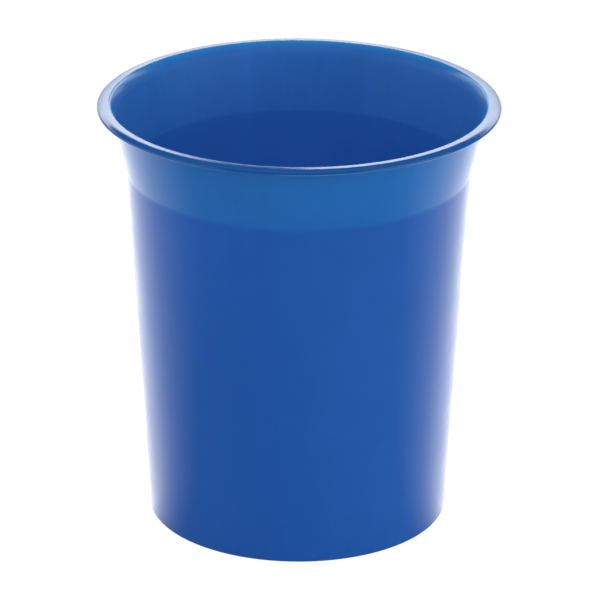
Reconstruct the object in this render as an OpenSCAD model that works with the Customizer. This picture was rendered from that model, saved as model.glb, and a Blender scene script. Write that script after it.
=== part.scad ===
/* [Overall] */
// Height from the floor to the top of the rim
height = 335; // [300:1:370]
// Outer diameter of the rim, the widest place
rim_d = 310; // [300:1:325]
// Outer diameter where the wall meets the floor
base_d = 233; // [205:1:245]
// Thickness of the moulded wall
wall_t = 2; // [1.6:0.1:2.6]

/* [Rim] */
// Width of the rim, from the mouth to its outer edge
rim_w = 10; // [9:0.1:11]
// Thickness of the rim's flat top
rim_t = 2; // [1.6:0.1:2.4]
// How far the turned-down outer edge hangs below the top
edge_drop = 3.8; // [3.6:0.1:6]
// Thickness of the turned-down edge
edge_t = 2.1; // [1.6:0.1:2.6]
// Radius of the gentle fall at the outer part of the rim's top
crown_r = 8; // [5:0.5:8]
// Radius of the tighter shoulder where the fall turns down into the edge
shoulder_r = 2; // [1.2:0.1:2]
// Radius of the rim's inner top edge
mouth_edge_r = 3; // [1:0.1:3.2]

/* [Collar] */
// Depth of the crease between the collar and the wall, below the rim's top
collar_h = 54; // [50:0.5:56]
// Outer diameter at the crease
crease_d = 265; // [260:0.5:266]
// Slope of the collar above the crease, from vertical
collar_angle = 12.2; // [11:0.1:12.6]
// Slope of the collar where it runs into the rim, from vertical
flare_angle = 45; // [40:1:55]
// Radius of the blend at the crease, on the outside
crease_r = 20; // [8:1:30]

/* [Base] */
// Height of the foot ring, up to the inside of the base
foot_h = 6; // [5:0.1:8]
// Width of the ring that stands on the floor
foot_w = 3.2; // [2.8:0.1:5]
// Radius of the foot ring's outer edge
foot_edge_r = 1.2; // [0.6:0.1:1.4]
// Thickness of the base panel
panel_t = 2.4; // [2:0.1:3]
// Diameter of the raised centre of the base panel
pad_d = 172; // [120:1:180]
// Height of the raised centre above the rest of the panel
pad_rise = 1.2; // [0.6:0.1:2]
// Radius of the inside corner between the base and the wall
corner_r = 5; // [3:0.5:8]

/* [Hidden] */
$fn = 180;
blue = [0.12, 0.33, 0.65];
light_blue = [0.16, 0.40, 0.71];
dark_blue = [0.10, 0.28, 0.57];

// The furthest that a round stretch's straight steps may stray from the true arc
arc_tolerance = 0.02;
// How far the crown turns, from the rim's flat top to the shoulder
crown_turn = 30;
// Smaller roundings and the marks of moulding
edge_tip_r = 0.7;
foot_inner_edge_r = 0.8;
pad_slope_w = 4;
gate_r = 6;
gate_depth = 0.7;
gate_stub_r = 1.5;
gate_stub_h = 0.4;

// Every outline lies in a plane through the axis: x is the distance from the axis and y the height
rim_r = rim_d / 2;
mouth_r = rim_r - rim_w;
base_r = base_d / 2;
foot_inner_r = base_r - foot_w;
rim_under = height - rim_t;
crease = [crease_d / 2, height - collar_h];
wall_angle = atan((crease.x - base_r) / crease.y);

// The crease is an arc tangent to the wall and to the straight part of the collar
crease_tangent = crease_r * tan((collar_angle - wall_angle) / 2);
crease_centre = crease - crease_tangent * along(wall_angle) + crease_r * outward(wall_angle);
crease_top = crease + crease_tangent * along(collar_angle);

// The flare is an arc tangent to the collar. Its inside meets the rim's top at the mouth.
reach = mouth_r + wall_t / cos(flare_angle) - crease.x;
bend_x = cos(collar_angle) - cos(flare_angle);
bend_y = sin(flare_angle) - sin(collar_angle);
flare_r = (reach * cos(collar_angle) - collar_h * sin(collar_angle))
    / (bend_x * cos(collar_angle) - bend_y * sin(collar_angle));
straight_length = (reach - flare_r * bend_x) / sin(collar_angle);
flare_start = crease + straight_length * along(collar_angle);
flare_centre = flare_start + flare_r * outward(collar_angle);
flare_in_r = flare_r + wall_t;

// The rounding of the rim's inner top edge touches the rim's top and the inside of the flare
mouth_edge_y = height - mouth_edge_r;
mouth_edge_angle = 180 - asin((mouth_edge_y - flare_centre.y) / (flare_in_r - mouth_edge_r));
mouth_edge_x = flare_centre.x + (flare_in_r - mouth_edge_r) * cos(mouth_edge_angle);

// The crown is an arc from the rim's flat top to the shoulder, which is an arc down to the edge
shoulder_start = 90 - crown_turn;
flat_r = rim_r - shoulder_r - (crown_r - shoulder_r) * cos(shoulder_start);
crown_centre = [flat_r, height - crown_r];
shoulder_centre = crown_centre + polar(crown_r - shoulder_r, shoulder_start);

// Directions up along a slope, measured from vertical, and square to it on the outside
function along(slope) = [sin(slope), cos(slope)];
function outward(slope) = [cos(slope), -sin(slope)];
function wall_x(y) = base_r + y * tan(wall_angle);
function wall_in_x(y) = wall_x(y) - wall_t / cos(wall_angle);
function polar(r, angle) = [r * cos(angle), r * sin(angle)];
// The direction from the flare's centre to where its arc of radius r reaches the rim's underside
function under_rim_angle(r) = 180 - asin((rim_under - flare_centre.y) / r);
// The points of an arc after its first one, as many as arc_tolerance asks for
function arc(centre, r, from, to) =
    let (steps = ceil(abs(to - from) / (2 * acos(1 - arc_tolerance / r))))
    [for (i = [1 : steps]) centre + polar(r, from + (to - from) * i / steps)];

// The flange round the mouth, with its crowned outer part and turned-down edge
module rim_lip() {
    in_angle = under_rim_angle(flare_in_r);
    tip_y = height - edge_drop + edge_tip_r;
    color(light_blue)
        rotate_extrude()
            polygon(concat(
                [flare_centre + polar(flare_in_r, in_angle)],
                arc(flare_centre, flare_in_r, in_angle, mouth_edge_angle),
                arc([mouth_edge_x, mouth_edge_y], mouth_edge_r, mouth_edge_angle, 90),
                [[flat_r, height]],
                arc(crown_centre, crown_r, 90, shoulder_start),
                arc(shoulder_centre, shoulder_r, shoulder_start, 0),
                [[rim_r, tip_y]],
                arc([rim_r - edge_tip_r, tip_y], edge_tip_r, 0, -90),
                [[rim_r - edge_t + edge_tip_r, height - edge_drop]],
                arc([rim_r - edge_t + edge_tip_r, tip_y], edge_tip_r, -90, -180),
                [[rim_r - edge_t, rim_under]],
                [flare_centre + polar(flare_r, under_rim_angle(flare_r))]
            ));
}

// The flared band between the crease and the rim
module collar() {
    tangent_angle = 180 - collar_angle;
    crease_inside = crease_top - wall_t * outward(collar_angle);
    color(blue)
        rotate_extrude()
            polygon(concat(
                [crease_inside, flare_start - wall_t * outward(collar_angle)],
                arc(flare_centre, flare_in_r, tangent_angle, under_rim_angle(flare_in_r)),
                [flare_centre + polar(flare_r, under_rim_angle(flare_r))],
                arc(flare_centre, flare_r, under_rim_angle(flare_r), tangent_angle),
                [crease_top]
            ));
}

// The tapered wall, with the crease at its top and the rounded inside corner at its bottom
module side_wall() {
    corner_y = foot_h + corner_r;
    corner_x = wall_in_x(corner_y) - corner_r / cos(wall_angle);
    crease_in_r = crease_r + wall_t;
    wall_side = 180 - wall_angle;
    collar_side = 180 - collar_angle;
    color(blue)
        rotate_extrude()
            polygon(concat(
                [[corner_x, foot_h]],
                arc([corner_x, corner_y], corner_r, -90, -wall_angle),
                [crease_centre + polar(crease_in_r, wall_side)],
                arc(crease_centre, crease_in_r, wall_side, collar_side),
                [crease_top],
                arc(crease_centre, crease_r, collar_side, wall_side),
                [[wall_x(foot_h), foot_h]]
            ));
}

// The ring that the bin stands on
module foot_ring() {
    edge_x = base_r + foot_edge_r * (tan(wall_angle) - 1 / cos(wall_angle));
    inner_edge_x = foot_inner_r + foot_inner_edge_r;
    color(blue)
        rotate_extrude()
            polygon(concat(
                [[foot_inner_r, foot_h], [foot_inner_r, foot_inner_edge_r]],
                arc([inner_edge_x, foot_inner_edge_r], foot_inner_edge_r, 180, 270),
                [[edge_x, 0]],
                arc([edge_x, foot_edge_r], foot_edge_r, -90, -wall_angle),
                [[wall_x(foot_h), foot_h]]
            ));
}

// The base, held clear of the floor, with a raised centre and the moulding gate's dimple below it
module base_panel() {
    under = foot_h - panel_t;
    pad_under = under + pad_rise;
    dimple_top = pad_under + gate_depth;
    pad_r = pad_d / 2;
    slope_r = pad_r + pad_slope_w;
    color(dark_blue)
        rotate_extrude()
            polygon([
                [0, dimple_top - gate_stub_h],
                [gate_stub_r, dimple_top - gate_stub_h],
                [gate_stub_r, dimple_top],
                [gate_r, dimple_top],
                [gate_r, pad_under],
                [pad_r, pad_under],
                [slope_r, under],
                [foot_inner_r, under],
                [foot_inner_r, foot_h],
                [slope_r, foot_h],
                [pad_r, foot_h + pad_rise],
                [0, foot_h + pad_rise]
            ]);
}

rim_lip();
collar();
side_wall();
foot_ring();
base_panel();
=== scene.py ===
"""The looks of the wastebasket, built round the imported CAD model. All lengths are in metres."""

import math

import bpy
from mathutils import Matrix, Vector


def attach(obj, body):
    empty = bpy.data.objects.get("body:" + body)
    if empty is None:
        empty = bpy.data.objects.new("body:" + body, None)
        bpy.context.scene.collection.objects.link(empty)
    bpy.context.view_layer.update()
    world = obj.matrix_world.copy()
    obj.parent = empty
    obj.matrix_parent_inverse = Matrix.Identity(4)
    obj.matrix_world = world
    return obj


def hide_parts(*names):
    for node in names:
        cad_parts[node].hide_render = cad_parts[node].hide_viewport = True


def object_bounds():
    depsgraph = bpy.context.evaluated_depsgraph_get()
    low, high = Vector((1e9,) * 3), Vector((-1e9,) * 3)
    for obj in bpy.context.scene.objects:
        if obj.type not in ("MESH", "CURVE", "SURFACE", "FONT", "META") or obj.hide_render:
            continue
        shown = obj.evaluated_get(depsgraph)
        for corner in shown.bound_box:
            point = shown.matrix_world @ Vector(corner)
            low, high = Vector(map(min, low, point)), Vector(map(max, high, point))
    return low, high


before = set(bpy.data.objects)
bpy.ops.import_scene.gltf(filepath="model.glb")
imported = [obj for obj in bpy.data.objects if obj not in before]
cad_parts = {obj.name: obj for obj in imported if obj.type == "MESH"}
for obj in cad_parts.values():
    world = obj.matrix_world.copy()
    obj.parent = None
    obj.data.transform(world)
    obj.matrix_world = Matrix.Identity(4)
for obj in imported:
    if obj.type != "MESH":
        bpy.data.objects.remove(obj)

CAD_LOW, CAD_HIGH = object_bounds()
MM = 0.001
MICRON = 1e-6

# ---------------------------------------------------------------- sizes of the moulding, as in the CAD model
HEIGHT = CAD_HIGH.z
RIM_R = CAD_HIGH.x
BASE_R = 116.5 * MM
WALL_T = 2 * MM
RIM_W = 10 * MM
RIM_T = 2 * MM
EDGE_DROP = 3.8 * MM
EDGE_T = 2.1 * MM
CROWN_R = 8 * MM
SHOULDER_R = 2 * MM
SHOULDER_START = 60  # degrees, where the crown passes into the shoulder
MOUTH_EDGE_R = 3 * MM
EDGE_TIP_R = 0.7 * MM
COLLAR_H = 54 * MM
CREASE_R = 132.5 * MM
COLLAR_ANGLE = math.radians(12.2)
FLARE_ANGLE = math.radians(45)
CREASE_BLEND_R = 20 * MM
FOOT_H = 6 * MM
FOOT_W = 3.2 * MM
FOOT_EDGE_R = 1.2 * MM
FOOT_INNER_EDGE_R = 0.8 * MM
PANEL_T = 2.4 * MM
PAD_R = 86 * MM
PAD_SLOPE_W = 4 * MM
PAD_RISE = 1.2 * MM
CORNER_R = 5 * MM
GATE_R = 6 * MM
GATE_DEPTH = 0.7 * MM
GATE_STUB_R = 1.5 * MM
GATE_STUB_H = 0.4 * MM

# Roundings of the base that the CAD model leaves sharp
PAD_BLEND_R = 6 * MM
RECESS_CORNER_R = 0.8 * MM
GATE_EDGE_R = 0.3 * MM

TURN_STEPS = 320  # faces round the bin
RING_H = 9 * MM  # height of one ring of faces on the straight walls
SAME_POINT = 1e-8  # points nearer than this are one
ON_AXIS = 1e-7  # a point nearer to the axis than this lies on it

OUTSIDE, INSIDE, UNDERSIDE, RIM = 0, 1, 2, 3  # material of a stretch of an outline


# ---------------------------------------------------------------- outlines in a plane through the axis
# A point of an outline is (radius, height)
def along(slope):
    """Up along a slope that is measured from vertical."""
    return Vector((math.sin(slope), math.cos(slope)))


def outward(slope):
    """Square to that slope, on the outside."""
    return Vector((math.cos(slope), -math.sin(slope)))


def polar(r, angle):
    return Vector((r * math.cos(angle), r * math.sin(angle)))


class Outline:
    """A closed outline that runs clockwise.

    It is a list of short straight edges, each with the true surface's normals at its two ends.
    """

    def __init__(self, start):
        self.at = Vector(start)
        self.edges = []
        self.material = OUTSIDE

    def on(self, material):
        self.material = material
        return self

    def line(self, to, steps=1):
        to, begin = Vector(to), self.at
        way = (to - begin).normalized()
        normal = Vector((-way.y, way.x))
        for i in range(steps):
            self._edge(begin.lerp(to, (i + 1) / steps), normal, normal)
        return self

    def wall(self, to):
        """A straight line in rings of about RING_H."""
        return self.line(to, max(1, round((Vector(to) - self.at).length / RING_H)))

    def arc(self, centre, r, start, end, steps):
        """Degrees, anticlockwise from +radius. It bulges outwards when the angle falls."""
        side = 1 if end < start else -1
        for i in range(steps):
            a, b = (math.radians(start + (end - start) * k / steps) for k in (i, i + 1))
            self._edge(Vector(centre) + polar(r, b), side * polar(1, a), side * polar(1, b))
        return self

    def rounded(self, corner, after, r, steps=4):
        """Straight on from where the outline is, then round a corner towards the point after it."""
        corner = Vector(corner)
        back, on = (self.at - corner).normalized(), (Vector(after) - corner).normalized()
        half = back.angle(on) / 2
        centre = corner + (back + on).normalized() * r / math.sin(half)
        start, end = (corner + way * r / math.tan(half) for way in (back, on))
        first, last = (math.degrees(math.atan2(p.y - centre.y, p.x - centre.x)) for p in (start, end))
        if last - first > 180:
            last -= 360
        if first - last > 180:
            last += 360
        return self.line(start).arc(centre, r, first, last, steps)

    def close(self):
        return self.line(self.edges[0][0])

    def turn_back(self):
        """Runs the outline the other way, for one that was drawn anticlockwise."""
        self.edges = [(q, p, -n_q, -n_p, material) for p, q, n_p, n_q, material in reversed(self.edges)]
        return self

    def _edge(self, to, n_from, n_to):
        self.edges.append((self.at.copy(), to.copy(), n_from, n_to, self.material))
        self.at = to


# The wall, the crease and the flared collar, as in the CAD model
MOUTH_R = RIM_R - RIM_W
FOOT_INNER_R = BASE_R - FOOT_W
RIM_UNDER = HEIGHT - RIM_T
CREASE = Vector((CREASE_R, HEIGHT - COLLAR_H))
WALL_ANGLE = math.atan2(CREASE.x - BASE_R, CREASE.y)
CREASE_TANGENT = CREASE_BLEND_R * math.tan((COLLAR_ANGLE - WALL_ANGLE) / 2)
CREASE_CENTRE = CREASE - CREASE_TANGENT * along(WALL_ANGLE) + CREASE_BLEND_R * outward(WALL_ANGLE)
CREASE_TOP = CREASE + CREASE_TANGENT * along(COLLAR_ANGLE)

REACH = MOUTH_R + WALL_T / math.cos(FLARE_ANGLE) - CREASE.x
BEND_X = math.cos(COLLAR_ANGLE) - math.cos(FLARE_ANGLE)
BEND_Y = math.sin(FLARE_ANGLE) - math.sin(COLLAR_ANGLE)
FLARE_R = (REACH * math.cos(COLLAR_ANGLE) - COLLAR_H * math.sin(COLLAR_ANGLE)) / (
    BEND_X * math.cos(COLLAR_ANGLE) - BEND_Y * math.sin(COLLAR_ANGLE)
)
FLARE_START = CREASE + (REACH - FLARE_R * BEND_X) / math.sin(COLLAR_ANGLE) * along(COLLAR_ANGLE)
FLARE_CENTRE = FLARE_START + FLARE_R * outward(COLLAR_ANGLE)
FLARE_IN_R = FLARE_R + WALL_T

# The roundings of the rim: its inner top edge, its crown and its shoulder
MOUTH_EDGE_Y = HEIGHT - MOUTH_EDGE_R
MOUTH_EDGE_ANGLE = math.pi - math.asin((MOUTH_EDGE_Y - FLARE_CENTRE.y) / (FLARE_IN_R - MOUTH_EDGE_R))
MOUTH_EDGE_X = FLARE_CENTRE.x + (FLARE_IN_R - MOUTH_EDGE_R) * math.cos(MOUTH_EDGE_ANGLE)
FLAT_R = RIM_R - SHOULDER_R - (CROWN_R - SHOULDER_R) * math.cos(math.radians(SHOULDER_START))
CROWN_CENTRE = Vector((FLAT_R, HEIGHT - CROWN_R))
SHOULDER_CENTRE = CROWN_CENTRE + polar(CROWN_R - SHOULDER_R, math.radians(SHOULDER_START))


def wall_x(y):
    return BASE_R + y * math.tan(WALL_ANGLE)


def under_rim_angle(r):
    """Degrees from the flare's centre to where its arc of radius r reaches the rim's underside."""
    return 180 - math.degrees(math.asin((RIM_UNDER - FLARE_CENTRE.y) / r))


def under_rim_point(r):
    return FLARE_CENTRE + polar(r, math.radians(under_rim_angle(r)))


def rim_lip_outline():
    mouth_edge = math.degrees(MOUTH_EDGE_ANGLE)
    tip_y = HEIGHT - EDGE_DROP + EDGE_TIP_R
    tip_inner_x = RIM_R - EDGE_T + EDGE_TIP_R
    o = Outline(under_rim_point(FLARE_IN_R)).on(INSIDE)
    o.arc(FLARE_CENTRE, FLARE_IN_R, under_rim_angle(FLARE_IN_R), mouth_edge, steps=4).on(RIM)
    o.arc((MOUTH_EDGE_X, MOUTH_EDGE_Y), MOUTH_EDGE_R, mouth_edge, 90, steps=8)
    o.line((FLAT_R, HEIGHT), steps=4)
    o.arc(CROWN_CENTRE, CROWN_R, 90, SHOULDER_START, steps=8)
    o.arc(SHOULDER_CENTRE, SHOULDER_R, SHOULDER_START, 0, steps=10)
    o.line((RIM_R, tip_y))
    o.arc((RIM_R - EDGE_TIP_R, tip_y), EDGE_TIP_R, 0, -90, steps=8)
    o.line((tip_inner_x, HEIGHT - EDGE_DROP))
    o.arc((tip_inner_x, tip_y), EDGE_TIP_R, -90, -180, steps=6)
    o.line((RIM_R - EDGE_T, RIM_UNDER))
    o.line(under_rim_point(FLARE_R), steps=3)
    return o.close()


def collar_outline():
    tangent = 180 - math.degrees(COLLAR_ANGLE)
    inwards = -WALL_T * outward(COLLAR_ANGLE)
    o = Outline(CREASE_TOP + inwards).on(INSIDE)
    o.wall(FLARE_START + inwards)
    o.arc(FLARE_CENTRE, FLARE_IN_R, tangent, under_rim_angle(FLARE_IN_R), steps=14)
    o.line(under_rim_point(FLARE_R)).on(OUTSIDE)
    o.arc(FLARE_CENTRE, FLARE_R, under_rim_angle(FLARE_R), tangent, steps=14)
    o.wall(CREASE_TOP)
    return o.close()


def side_wall_outline():
    corner_y = FOOT_H + CORNER_R
    corner_x = wall_x(corner_y) - (WALL_T + CORNER_R) / math.cos(WALL_ANGLE)
    wall_side = 180 - math.degrees(WALL_ANGLE)
    collar_side = 180 - math.degrees(COLLAR_ANGLE)
    crease_in_r = CREASE_BLEND_R + WALL_T
    o = Outline((corner_x, FOOT_H)).on(INSIDE)
    o.arc((corner_x, corner_y), CORNER_R, -90, -math.degrees(WALL_ANGLE), steps=12)
    o.wall(CREASE_CENTRE + polar(crease_in_r, math.radians(wall_side)))
    o.arc(CREASE_CENTRE, crease_in_r, wall_side, collar_side, steps=8)
    o.line(CREASE_TOP).on(OUTSIDE)
    o.arc(CREASE_CENTRE, CREASE_BLEND_R, collar_side, wall_side, steps=8)
    o.wall((wall_x(FOOT_H), FOOT_H))
    return o.close()


def foot_ring_outline():
    edge_x = BASE_R + FOOT_EDGE_R * (math.tan(WALL_ANGLE) - 1 / math.cos(WALL_ANGLE))
    inner_edge_x = FOOT_INNER_R + FOOT_INNER_EDGE_R
    o = Outline((FOOT_INNER_R, FOOT_H)).on(UNDERSIDE)
    o.line((FOOT_INNER_R, FOOT_INNER_EDGE_R), steps=2)
    o.arc((inner_edge_x, FOOT_INNER_EDGE_R), FOOT_INNER_EDGE_R, 180, 270, steps=6)
    o.line((edge_x, 0)).on(OUTSIDE)
    o.arc((edge_x, FOOT_EDGE_R), FOOT_EDGE_R, -90, -math.degrees(WALL_ANGLE), steps=8)
    o.line((wall_x(FOOT_H), FOOT_H), steps=2)
    return o.close().turn_back()


def base_panel_outline():
    under = FOOT_H - PANEL_T
    pad_under = under + PAD_RISE
    pad_top = FOOT_H + PAD_RISE
    dimple_top = pad_under + GATE_DEPTH
    stub_y = dimple_top - GATE_STUB_H
    slope_r = PAD_R + PAD_SLOPE_W
    o = Outline((0, stub_y)).on(UNDERSIDE)
    o.rounded((GATE_STUB_R, stub_y), (GATE_STUB_R, dimple_top), GATE_EDGE_R / 2)
    o.rounded((GATE_STUB_R, dimple_top), (GATE_R, dimple_top), GATE_EDGE_R / 2)
    o.rounded((GATE_R, dimple_top), (GATE_R, pad_under), GATE_EDGE_R)
    o.rounded((GATE_R, pad_under), (PAD_R, pad_under), GATE_EDGE_R)
    o.wall((PAD_R - 2 * PAD_BLEND_R, pad_under))
    o.rounded((PAD_R, pad_under), (slope_r, under), PAD_BLEND_R)
    o.rounded((slope_r, under), (FOOT_INNER_R, under), PAD_BLEND_R)
    o.rounded((FOOT_INNER_R, under), (FOOT_INNER_R, 0), RECESS_CORNER_R, steps=6)
    o.line((FOOT_INNER_R, FOOT_H)).on(INSIDE)
    o.wall((slope_r + 2 * PAD_BLEND_R, FOOT_H))
    o.rounded((slope_r, FOOT_H), (PAD_R, pad_top), PAD_BLEND_R)
    o.rounded((PAD_R, pad_top), (0, pad_top), PAD_BLEND_R)
    return o.wall((0, pad_top)).turn_back()


# ---------------------------------------------------------------- meshes
def turned(name, outline, materials):
    """The solid made by turning an outline about the axis.

    Every face corner gets the true surface's normal, so the shading runs on unbroken from piece to piece.
    """
    angles = (2 * math.pi * j / TURN_STEPS for j in range(TURN_STEPS))
    turns = [(math.cos(angle), math.sin(angle)) for angle in angles]
    rows, verts = {}, []

    def row(p):
        """The vertices round the axis at one point of the outline."""
        key = (round(p.x, 8), round(p.y, 8))
        if key not in rows:
            first = len(verts)
            if p.x < ON_AXIS:
                verts.append((0, 0, p.y))
                rows[key] = [first] * TURN_STEPS
            else:
                verts.extend((p.x * c, p.x * s, p.y) for c, s in turns)
                rows[key] = list(range(first, first + TURN_STEPS))
        return rows[key]

    faces, normals, slots = [], [], []
    for p, q, n_p, n_q, material in outline.edges:
        if (p - q).length < SAME_POINT:
            continue
        low, high = row(p), row(q)
        for j in range(TURN_STEPS):
            k = (j + 1) % TURN_STEPS
            corners = {}
            for ring, normal, turn in ((low, n_p, j), (high, n_q, j), (high, n_q, k), (low, n_p, k)):
                corners.setdefault(ring[turn], (normal, turns[turn]))
            if len(corners) < 3:
                continue
            faces.append(list(corners))
            normals.extend((n.x * c, n.x * s, n.y) for n, (c, s) in corners.values())
            slots.append(material)
    mesh = bpy.data.meshes.new(name)
    mesh.from_pydata(verts, [], faces)
    mesh.polygons.foreach_set("material_index", slots)
    mesh.polygons.foreach_set("use_smooth", [True] * len(faces))
    for material in materials:
        mesh.materials.append(material)
    mesh.normals_split_custom_set(normals)
    mesh.update()
    piece = bpy.data.objects.new(name, mesh)
    bpy.context.scene.collection.objects.link(piece)
    return piece


# ---------------------------------------------------------------- materials
WHITE = (1, 1, 1, 1)
BLUE = (0.0110, 0.1430, 0.6550, 1)
# Painted light: the collar's tone, lighter than BLUE for light that comes through it from the lit inside
LIT_BLUE = (0.0150, 0.2300, 0.7600, 1)
# Painted shade: the rim's tone, darker than BLUE
RIM_SHADED_BLUE = (0.0060, 0.1150, 0.4700, 1)
# Painted light: the inside's tone, lighter than BLUE for light that comes through the thin wall
INSIDE_LIT_BLUE = (0.0450, 0.2400, 0.7600, 1)
# Painted light: the mouth's tone, lighter where it faces the light
MOUTH_LIT_BLUE = (0.0250, 0.2900, 0.8000, 1)
WORN_BLUE = (0.0400, 0.2200, 0.7600, 1)
# Painted highlight: the pale line along the rim's lower outer corner
EDGE_HIGHLIGHT_BLUE = (0.1300, 0.4200, 0.9000, 1)
DUST = (0.1300, 0.2100, 0.3600, 1)

RIM_ROUGHNESS = 0.14
MOUTH_ROUGHNESS = 0.20
OUTER_ROUGHNESS = 0.22
UNDER_ROUGHNESS = 0.36
INNER_ROUGHNESS = 0.40
PLASTIC_IOR = 1.42
INNER_SPECULAR, OUTER_SPECULAR = 0.22, 0.5

# How far each pattern moves the shade and the roughness, and how high its relief is
CLOUD_SHADE, MOTTLE_SHADE, SPECK_SHADE = 0.030, 0.012, 0.012
STREAK_SHADE, FINE_STREAK_SHADE, RING_SHADE = 0.030, 0.018, 0.030
CLOUD_ROUGHNESS, MOTTLE_ROUGHNESS, WORN_ROUGHNESS = 0.025, 0.020, 0.35
WAVE_RELIEF, FINE_STREAK_RELIEF, RING_RELIEF = 60 * MICRON, 12 * MICRON, 20 * MICRON
SCRATCH_DEPTH = 10 * MICRON
EDGE_WEAR, SCRATCH_WEAR = 0.55, 0.30

STREAK_CHANGE = 0.6  # a metre along the bin changes a streak as much as this many radians round it
RING_CHANGE = 0.004  # a radian round the bin changes a ring no more than this many metres along it
NOISE_LOW, NOISE_HIGH = 0.3, 0.7  # most values of a noise pattern lie between these
MIX_FACTOR, MIX_A, MIX_B, MIX_RESULT = 0, 6, 7, 2  # a mix node's sockets for colours


class Tree:
    """The shader nodes of a material, a light or the world, with short ways to add more."""

    def __init__(self, owner):
        owner.use_nodes = True
        self.nodes, self.links = owner.node_tree.nodes, owner.node_tree.links
        self.nodes.clear()

    def add(self, kind, inputs=(), **settings):
        n = self.nodes.new(kind)
        for key, value in settings.items():
            setattr(n, key, value)
        for key, value in dict(inputs).items():
            if isinstance(value, bpy.types.NodeSocket):
                self.links.new(value, n.inputs[key])
            else:
                n.inputs[key].default_value = value
        return n

    def math(self, operation, *values, clamp=False):
        inputs = dict(enumerate(values))
        return self.add("ShaderNodeMath", inputs, operation=operation, use_clamp=clamp).outputs[0]

    def plus(self, first, *others):
        for value in others:
            first = self.math("ADD", first, value)
        return first

    def times(self, first, *others):
        for value in others:
            first = self.math("MULTIPLY", first, value)
        return first

    def radius(self, x, y):
        """The distance from the axis."""
        return self.math("SQRT", self.plus(self.times(x, x), self.times(y, y)))

    def vector(self, x, y, z):
        return self.add("ShaderNodeCombineXYZ", {0: x, 1: y, 2: z}).outputs[0]

    def parts(self, vector):
        """The x, y and z of a vector."""
        return self.add("ShaderNodeSeparateXYZ", {0: vector}).outputs

    def ramp(self, value, low, high, to_low=0.0, to_high=1.0, smooth=True):
        """value from low..high to to_low..to_high, held at the ends."""
        inputs = {"Value": value, "From Min": low, "From Max": high, "To Min": to_low, "To Max": to_high}
        kind = "SMOOTHSTEP" if smooth else "LINEAR"
        return self.add("ShaderNodeMapRange", inputs, interpolation_type=kind, clamp=True).outputs[0]

    def noise(self, place, scale, detail=2.0, rough=0.5):
        inputs = {"Vector": place, "Scale": scale, "Detail": detail, "Roughness": rough}
        return self.add("ShaderNodeTexNoise", inputs).outputs["Fac"]

    def swing(self, pattern, most):
        """A noise pattern, made to run from -most to most."""
        return self.ramp(pattern, NOISE_LOW, NOISE_HIGH, -most, most)

    def mix(self, factor, a, b):
        """From colour a to colour b."""
        inputs = {MIX_FACTOR: factor, MIX_A: a, MIX_B: b}
        return self.add("ShaderNodeMix", inputs, data_type="RGBA").outputs[MIX_RESULT]

    def emission(self, strength, colour=WHITE):
        return self.add("ShaderNodeEmission", {"Color": colour, "Strength": strength}).outputs[0]

    def matte(self, colour):
        return self.add("ShaderNodeBsdfDiffuse", {"Color": colour}).outputs[0]

    def choose(self, factor, a, b):
        """Shader a where factor is 0, and shader b where it is 1."""
        return self.add("ShaderNodeMixShader", {0: factor, 1: a, 2: b}).outputs[0]


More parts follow.
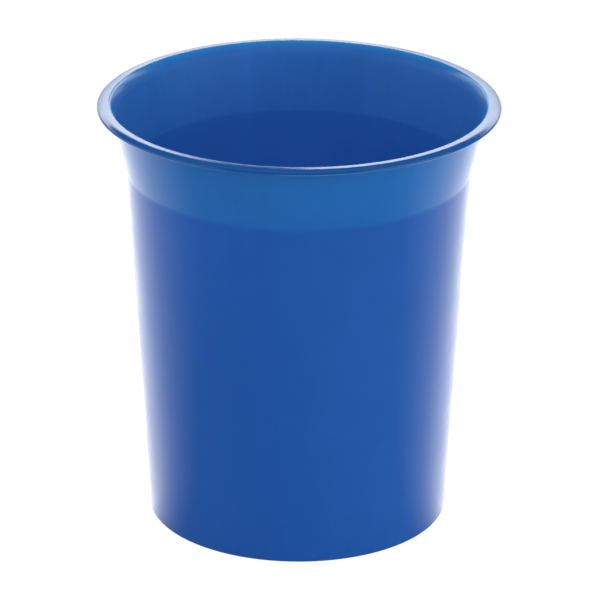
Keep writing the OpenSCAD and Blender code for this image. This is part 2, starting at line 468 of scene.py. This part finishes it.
class Plastic:
    """A moulded polypropylene in the making.

    grain is the height of its fine texture, streaks and rings are how clear the marks along and round the
    mould are, and wear is how scuffed it is.
    """

    def __init__(self, name, roughness, grain, streaks, rings, wear):
        self.material = bpy.data.materials.new(name)
        self.t = Tree(self.material)
        self.grain, self.streaks, self.rings, self.wear = grain, streaks, rings, wear
        self._place()
        self._patterns()
        self._scuffs()
        uneven = self.t.swing(self.cloud, CLOUD_ROUGHNESS), self.t.swing(self.mottle, MOTTLE_ROUGHNESS)
        self.rough = self.t.plus(roughness, *uneven)

    def _place(self):
        """Where a point of the surface is."""
        t = self.t
        self.place = t.add("ShaderNodeTexCoord").outputs["Object"]
        x, y, self.z = t.parts(self.place)
        self.radius = t.radius(x, y)
        clear_of_axis = t.math("MAXIMUM", self.radius, 10 * MM)
        round_x, round_y = (t.math("DIVIDE", v, clear_of_axis) for v in (x, y))
        # A pattern in the first of these runs up the bin, and in the second it runs round the bin
        self.upright = t.vector(round_x, round_y, t.times(self.z, STREAK_CHANGE))
        self.level = t.vector(self.radius, self.z, t.times(round_x, RING_CHANGE))

    def _patterns(self):
        t = self.t
        self.broad_streak = t.noise(self.upright, scale=5, detail=2)
        self.fine_streak = t.noise(self.upright, scale=42, detail=3, rough=0.6)
        self.ring = t.noise(self.level, scale=900, detail=3, rough=0.6)
        self.wave = t.noise(self.place, scale=30, detail=1)
        self.cloud = t.noise(self.place, scale=7, detail=2)
        self.mottle = t.noise(self.place, scale=60, detail=3)
        self.speck = t.noise(self.place, scale=1400, detail=2)
        self.fine_grain = t.noise(self.place, scale=1100, detail=3, rough=0.6)

    def _scuffs(self):
        """Fine scratches all over in patches, and wear at the foot and on the rim's shoulder."""
        t = self.t
        stretch = {"Vector": self.place, "Rotation": (0.5, 0.3, 0.9), "Scale": (1, 1, 0.22)}
        tilted = t.add("ShaderNodeMapping", stretch).outputs[0]
        # A scratch is a thin contour of a stretched noise
        contour = t.math("ABSOLUTE", t.math("SUBTRACT", t.noise(tilted, scale=55, detail=1), 0.5))
        line = t.ramp(contour, 0, 0.006, 1, 0)
        patch = t.ramp(t.noise(self.place, scale=19, detail=1), 0.56, 0.66)
        self.scratch = t.times(line, patch)

        foot = t.ramp(self.z, 2 * MM, 20 * MM, 1, 0)
        outer = t.ramp(self.radius, FLAT_R, RIM_R - 0.5 * MM)
        upper = t.ramp(self.z, RIM_UNDER - 1 * MM, HEIGHT - 1.2 * MM)
        rubbed = t.ramp(t.noise(self.place, scale=130, detail=4, rough=0.65), 0.50, 0.66)
        edges = t.times(t.math("MAXIMUM", foot, t.times(outer, upper)), rubbed)
        edges = t.math("MULTIPLY", edges, EDGE_WEAR * self.wear, clamp=True)
        self.worn = t.math("MAXIMUM", edges, t.times(self.scratch, SCRATCH_WEAR * self.wear), clamp=True)

    def paint(self, tone):
        """Colours it, lighter and darker in clouds, streaks and specks, and paler where it is worn."""
        t = self.t
        shade = t.plus(
            t.swing(self.cloud, CLOUD_SHADE),
            t.swing(self.mottle, MOTTLE_SHADE),
            t.swing(self.broad_streak, STREAK_SHADE * self.streaks),
            t.swing(self.fine_streak, FINE_STREAK_SHADE * self.streaks),
            t.swing(self.ring, RING_SHADE * self.rings),
            t.swing(self.speck, SPECK_SHADE),
            1,
        )
        shaded = t.add("ShaderNodeHueSaturation", {"Color": tone, "Value": shade}).outputs[0]
        self.colour = t.mix(self.worn, shaded, WORN_BLUE)

    def cover(self, mask, colour):
        """Lays another colour over it."""
        self.colour = self.t.mix(mask, self.colour, colour)

    def finish(self, specular=OUTER_SPECULAR):
        """Ends the material with its gloss and its relief."""
        t = self.t
        height = t.plus(
            t.times(self.fine_grain, self.grain),
            t.times(self.wave, WAVE_RELIEF),
            t.times(self.fine_streak, FINE_STREAK_RELIEF * self.streaks),
            t.times(self.ring, RING_RELIEF * self.rings),
            t.times(self.scratch, -SCRATCH_DEPTH * self.wear),
        )
        inputs = {
            "Base Color": self.colour,
            "Roughness": t.math("ADD", self.rough, t.times(self.worn, WORN_ROUGHNESS), clamp=True),
            "Normal": t.add("ShaderNodeBump", {"Height": height, "Strength": 1, "Distance": 1}).outputs[0],
            "IOR": PLASTIC_IOR,
            "Specular IOR Level": specular,
        }
        shader = t.add("ShaderNodeBsdfPrincipled", inputs).outputs[0]
        t.add("ShaderNodeOutputMaterial", {"Surface": shader}).is_active_output = True
        return self.material


def outside_plastic():
    """Painted lighter above the crease, and more so towards the rim, for light that comes through the collar
    from the lit inside.
    """
    p = Plastic("moulded_plastic_outside", OUTER_ROUGHNESS, 5 * MICRON, streaks=0.5, rings=0, wear=0.12)
    t = p.t
    # Painted light: a lighter band from the crease up, then lighter still towards the rim
    at_crease = t.ramp(p.z, CREASE.y - 4 * MM, CREASE.y + 2 * MM, 0, 0.6)
    above = t.plus(at_crease, t.ramp(p.z, CREASE.y, HEIGHT, 0, 0.4, smooth=False))
    p.paint(t.mix(above, BLUE, LIT_BLUE))
    return p.finish()


def inside_plastic():
    """Painted lighter than the outside, for light that comes through the thin wall; painted lighter still at
    the mouth, where it faces the light, and smoother there, with a little dust in the corner at the bottom.
    """
    p = Plastic("moulded_plastic_inside", INNER_ROUGHNESS, 8 * MICRON, streaks=0.8, rings=0, wear=0.3)
    t = p.t
    # Painted light: lighter than the outside, and lighter still at the mouth
    p.paint(t.mix(t.ramp(p.z, HEIGHT - 3.8 * MM, HEIGHT - 1.6 * MM), INSIDE_LIT_BLUE, MOUTH_LIT_BLUE))
    bottom = t.ramp(p.z, FOOT_H, FOOT_H + 12 * MM, 1, 0)
    corner = t.times(bottom, t.ramp(p.radius, 85 * MM, 112 * MM, 0.25, 1))
    dust = t.times(corner, t.ramp(t.noise(p.place, scale=90, detail=5, rough=0.7), 0.30, 0.75, 0.05, 0.28))
    p.cover(dust, DUST)
    p.worn = t.math("MAXIMUM", p.worn, dust)
    smoother = MOUTH_ROUGHNESS - INNER_ROUGHNESS
    p.rough = t.plus(p.rough, t.ramp(p.z, HEIGHT - 8 * MM, HEIGHT - 3 * MM, 0, smoother))
    return p.finish(INNER_SPECULAR)


def underside_plastic():
    p = Plastic("moulded_plastic_underside", UNDER_ROUGHNESS, 14 * MICRON, streaks=0, rings=1, wear=1)
    p.paint(BLUE)
    return p.finish()


def rim_plastic():
    """Painted lighter and a little rougher at the mouth, where its rounding faces the light, painted darker
    than the body from there outwards, with a painted highlight along the lower corner of its outer edge.
    """
    p = Plastic("moulded_plastic_rim", RIM_ROUGHNESS, 4 * MICRON, streaks=0.4, rings=0, wear=0.12)
    t = p.t
    # Painted light and shade: lighter at the mouth, darker than the body from there outwards
    p.paint(t.mix(t.ramp(p.radius, MOUTH_R, MOUTH_R + 5 * MM), MOUTH_LIT_BLUE, RIM_SHADED_BLUE))
    tip_z = HEIGHT - EDGE_DROP
    # Painted highlight: a pale line along the rounded lower corner of the outer edge, stronger and weaker
    # along the rim
    outermost = t.ramp(p.radius, RIM_R - 1.4 * MM, RIM_R - 0.6 * MM)
    lowest = t.ramp(p.z, tip_z + 0.4 * MM, tip_z + 0.9 * MM, 1, 0)
    uneven = t.ramp(t.noise(p.upright, scale=1.7, detail=2), 0.35, 0.65, 0.25, 1)
    p.cover(t.times(outermost, lowest, uneven), EDGE_HIGHLIGHT_BLUE)
    rougher = MOUTH_ROUGHNESS - RIM_ROUGHNESS
    p.rough = t.plus(p.rough, t.ramp(p.radius, MOUTH_R - 1 * MM, MOUTH_R + 5 * MM, rougher, 0))
    return p.finish()


# ---------------------------------------------------------------- pieces
MATERIALS = [outside_plastic(), inside_plastic(), underside_plastic(), rim_plastic()]
PIECES = [
    ("rim_lip_shell", "rim_lip", rim_lip_outline),
    ("collar_shell", "collar", collar_outline),
    ("side_wall_shell", "side_wall", side_wall_outline),
    ("foot_ring_shell", "foot_ring", foot_ring_outline),
    ("base_panel_shell", "base_panel", base_panel_outline),
]
for name, node, outline in PIECES:
    piece = turned(name, outline(), MATERIALS)
    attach(piece, "root")
    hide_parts(node)

# ---------------------------------------------------------------- floor, light and camera
scene = bpy.context.scene
scene.view_settings.view_transform = "Standard"
scene.view_settings.look = "None"

FLOOR_HALF = 30.0
FLOOR_GREY = (0.55, 0.55, 0.56, 1)  # as light bounces off it on to the bin
FLOOR_SHADOW_GREY = (0.16, 0.16, 0.16, 1)  # the part of what the camera sees that a shadow darkens
FLOOR_GLOW = 0.93  # the part of it that no shadow darkens


def pale_floor():
    """A floor that looks near white, and that reflections see brightest behind the bin."""
    side_glow, back_glow, back_shift, near = 0.38, 1.12, 0.03, 0.15
    least_glow, most_glow = 0.35, 1.95
    material = bpy.data.materials.new("pale_floor")
    t = Tree(material)
    ray = t.add("ShaderNodeLightPath").outputs
    x, y, _ = t.parts(t.add("ShaderNodeTexCoord").outputs["Object"])
    away = t.radius(x, y)
    behind = t.math("DIVIDE", t.plus(y, back_shift), away)
    glow = t.math("DIVIDE", t.plus(t.times(behind, back_glow), side_glow), t.plus(away, near))
    glow = t.plus(t.math("MINIMUM", t.math("MAXIMUM", glow, 0), most_glow), least_glow)
    # A little dimmer close to the bin
    mirrored = t.emission(t.times(glow, t.ramp(away, 0.20, 0.70, 0.86, 1.02)))
    shadowed, glowing = t.matte(FLOOR_SHADOW_GREY), t.emission(FLOOR_GLOW)
    seen = t.add("ShaderNodeAddShader", {0: shadowed, 1: glowing}).outputs[0]
    unseen = t.choose(ray["Is Glossy Ray"], t.matte(FLOOR_GREY), mirrored)
    t.add("ShaderNodeOutputMaterial", {"Surface": t.choose(ray["Is Camera Ray"], unseen, seen)})
    material.cycles.emission_sampling = "NONE"
    return material


corners = [(x * FLOOR_HALF, y * FLOOR_HALF, CAD_LOW.z) for x, y in ((-1, -1), (1, -1), (1, 1), (-1, 1))]
floor_mesh = bpy.data.meshes.new("studio_floor")
floor_mesh.from_pydata(corners, [], [(0, 1, 2, 3)])
floor_mesh.materials.append(pale_floor())
floor = bpy.data.objects.new("studio_floor", floor_mesh)
scene.collection.objects.link(floor)


def studio_dome():
    """A white background that lights softly from above, and is dimmer in reflections."""
    level_light, top_light, rise, glossy_cut = 0.08, 1.05, 3, 0.75
    world = bpy.data.worlds.new("studio")
    t = Tree(world)
    ray = t.add("ShaderNodeLightPath").outputs
    up = t.parts(t.add("ShaderNodeTexCoord").outputs["Generated"])[2]
    strength = t.plus(t.times(t.math("POWER", t.math("MAXIMUM", up, 0), rise), top_light), level_light)
    strength = t.times(strength, t.math("SUBTRACT", 1, t.times(ray["Is Glossy Ray"], glossy_cut)))
    dome = t.add("ShaderNodeBackground", {"Color": WHITE, "Strength": strength}).outputs[0]
    white = t.add("ShaderNodeBackground", {"Color": WHITE, "Strength": 1}).outputs[0]
    t.add("ShaderNodeOutputWorld", {"Surface": t.choose(ray["Is Camera Ray"], dome, white)})
    return world


scene.world = studio_dome()


WATTS_PER_AREA = 4  # an area light's power for each square metre, at a radiance of 1


def softbox(name, centre, aim, width, height, radiance, roll=0, colour=(1, 1, 1)):
    """A rectangle of light that the camera doesn't see."""
    light = bpy.data.lights.new(name, "AREA")
    light.shape = "RECTANGLE"
    light.size, light.size_y = width, height
    light.energy = WATTS_PER_AREA * width * height * radiance
    light.color = colour
    o = bpy.data.objects.new(name, light)
    scene.collection.objects.link(o)
    turn = (Vector(aim) - Vector(centre)).to_track_quat("-Z", "Y").to_matrix().to_4x4()
    o.matrix_world = Matrix.Translation(centre) @ turn @ Matrix.Rotation(math.radians(roll), 4, "Z")
    o.visible_camera = False
    return o


PANEL_Z = 0.60
PANEL_RADIANCE = 3.25
PANEL_COLOUR = (0.97, 1, 0.99)
PANEL_FADE_START, PANEL_FADE_END = 0.74, 0.84


def back_panel(name, x, y, width, depth, roll, far_glow):
    """A panel that faces down behind the bin, shows in its gloss only, and dims to far_glow further back."""
    centre, aim = (x, y, PANEL_Z), (x, y, 0)
    panel = softbox(name, centre, aim, width, depth, PANEL_RADIANCE, roll, PANEL_COLOUR)
    panel.visible_diffuse = False
    t = Tree(panel.data)
    back = t.parts(t.add("ShaderNodeNewGeometry").outputs["Position"])[1]
    glow = t.emission(t.ramp(back, PANEL_FADE_START, PANEL_FADE_END, 1, far_glow))
    t.add("ShaderNodeOutputLight", {"Surface": glow})


back_panel("low_back_left", -0.525, 0.72, width=0.75, depth=0.68, roll=17, far_glow=0.42)
back_panel("low_back_right", 0.425, 0.72, width=0.75, depth=0.68, roll=-13, far_glow=0.42)
back_panel("low_back_middle", -0.02, 0.96, width=0.40, depth=0.34, roll=0, far_glow=0.85)
softbox("back_low", (0, 2.2, 0.50), (0, 0, 0.50), 4.0, 0.95, radiance=1.15)
softbox("front_right", (1.65, -0.90, 0.45), (0, 0, 0.2), 2.00, 0.70, radiance=2.10, colour=(0.92, 1, 0.86))
softbox("side_left", (-1.45, -0.30, 0.45), (0, 0, 0.2), 2.00, 0.70, radiance=1.12, colour=(0.92, 1, 0.90))
front_top = softbox("front_top", (0.2, -1.60, 1.50), (0, 0, 0.25), 1.20, 1.20, radiance=0.75)
front_top.visible_glossy = False

LENS_MM, SENSOR_MM = 246.0, 36.0
NEAR_CLIP, FAR_CLIP = 0.1, 100
DISTANCE, ELEVATION, AIM_Z = 3.2023, math.radians(22.21), 0.1676
PITCH, YAW, ROLL = math.radians(-22.161), math.radians(-0.027), math.radians(0.305)
camera_data = bpy.data.cameras.new("camera")
camera_data.lens, camera_data.sensor_width = LENS_MM, SENSOR_MM
camera_data.clip_start, camera_data.clip_end = NEAR_CLIP, FAR_CLIP
camera = bpy.data.objects.new("camera", camera_data)
scene.collection.objects.link(camera)
stand = Vector((0, -DISTANCE * math.cos(ELEVATION), AIM_Z + DISTANCE * math.sin(ELEVATION)))
tilt = Matrix.Rotation(math.pi / 2 + PITCH, 4, "X") @ Matrix.Rotation(ROLL, 4, "Z")
camera.matrix_world = Matrix.Translation(stand) @ Matrix.Rotation(YAW, 4, "Z") @ tilt
scene.camera = camera
